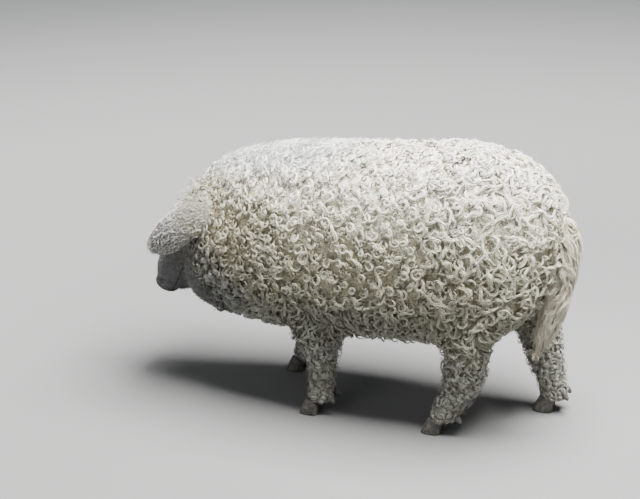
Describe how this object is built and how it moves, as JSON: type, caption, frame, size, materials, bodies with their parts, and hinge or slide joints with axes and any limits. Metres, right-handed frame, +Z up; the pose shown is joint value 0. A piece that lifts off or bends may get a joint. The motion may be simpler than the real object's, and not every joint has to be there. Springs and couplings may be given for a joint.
{
  "type": "standing curly-coated pig",
  "caption": "Life-size curly-coated pig standing on cloven hoofs, head lowered to root, drooping ears and a long-haired hanging tail.",
  "frame": {"origin": "on the floor, under the middle of the animal's bounding box", "axes": "+X towards the tail (the head faces -X), +Y towards the animal's right side, +Z up"},
  "size_m": [1.205, 0.4556, 0.7543],
  "materials": {
    "coat": "matte curly fleece, cream white to tan",
    "leg_coat": "matted muddy curls",
    "face": "dark skin under short muddy hair",
    "ear": "grey short-haired leaf of skin",
    "snout": "damp bare skin",
    "eye": "wet dark eye",
    "horn": "dull black horn"
  },
  "bodies": {
    "root": {"barrel": "coat", "chest": "coat", "dewclaw_foreleg_left_inner": "horn", "dewclaw_foreleg_left_outer": "horn", "dewclaw_foreleg_right_inner": "horn", "dewclaw_foreleg_right_outer": "horn", "dewclaw_hindleg_left_inner": "horn", "dewclaw_hindleg_left_outer": "horn", "dewclaw_hindleg_right_inner": "horn", "dewclaw_hindleg_right_outer": "horn", "ear_left": "ear", "ear_right": "ear", "eye_left": "eye", "eye_right": "eye", "foreleg_left": "leg_coat", "foreleg_left_foot": "leg_coat", "foreleg_right": "leg_coat", "foreleg_right_foot": "leg_coat", "ham_left": "coat", "ham_right": "coat", "head": "face", "hindleg_left": "leg_coat", "hindleg_left_foot": "leg_coat", "hindleg_right": "leg_coat", "hindleg_right_foot": "leg_coat", "hoof_foreleg_left_inner": "horn", "hoof_foreleg_left_outer": "horn", "hoof_foreleg_right_inner": "horn", "hoof_foreleg_right_outer": "horn", "hoof_hindleg_left_inner": "horn", "hoof_hindleg_left_outer": "horn", "hoof_hindleg_right_inner": "horn", "hoof_hindleg_right_outer": "horn", "lower_jaw": "face", "neck": "coat", "snout_disc": "snout", "tail": "coat", "tail_tuft": "coat"}
  },
  "joints": []
}
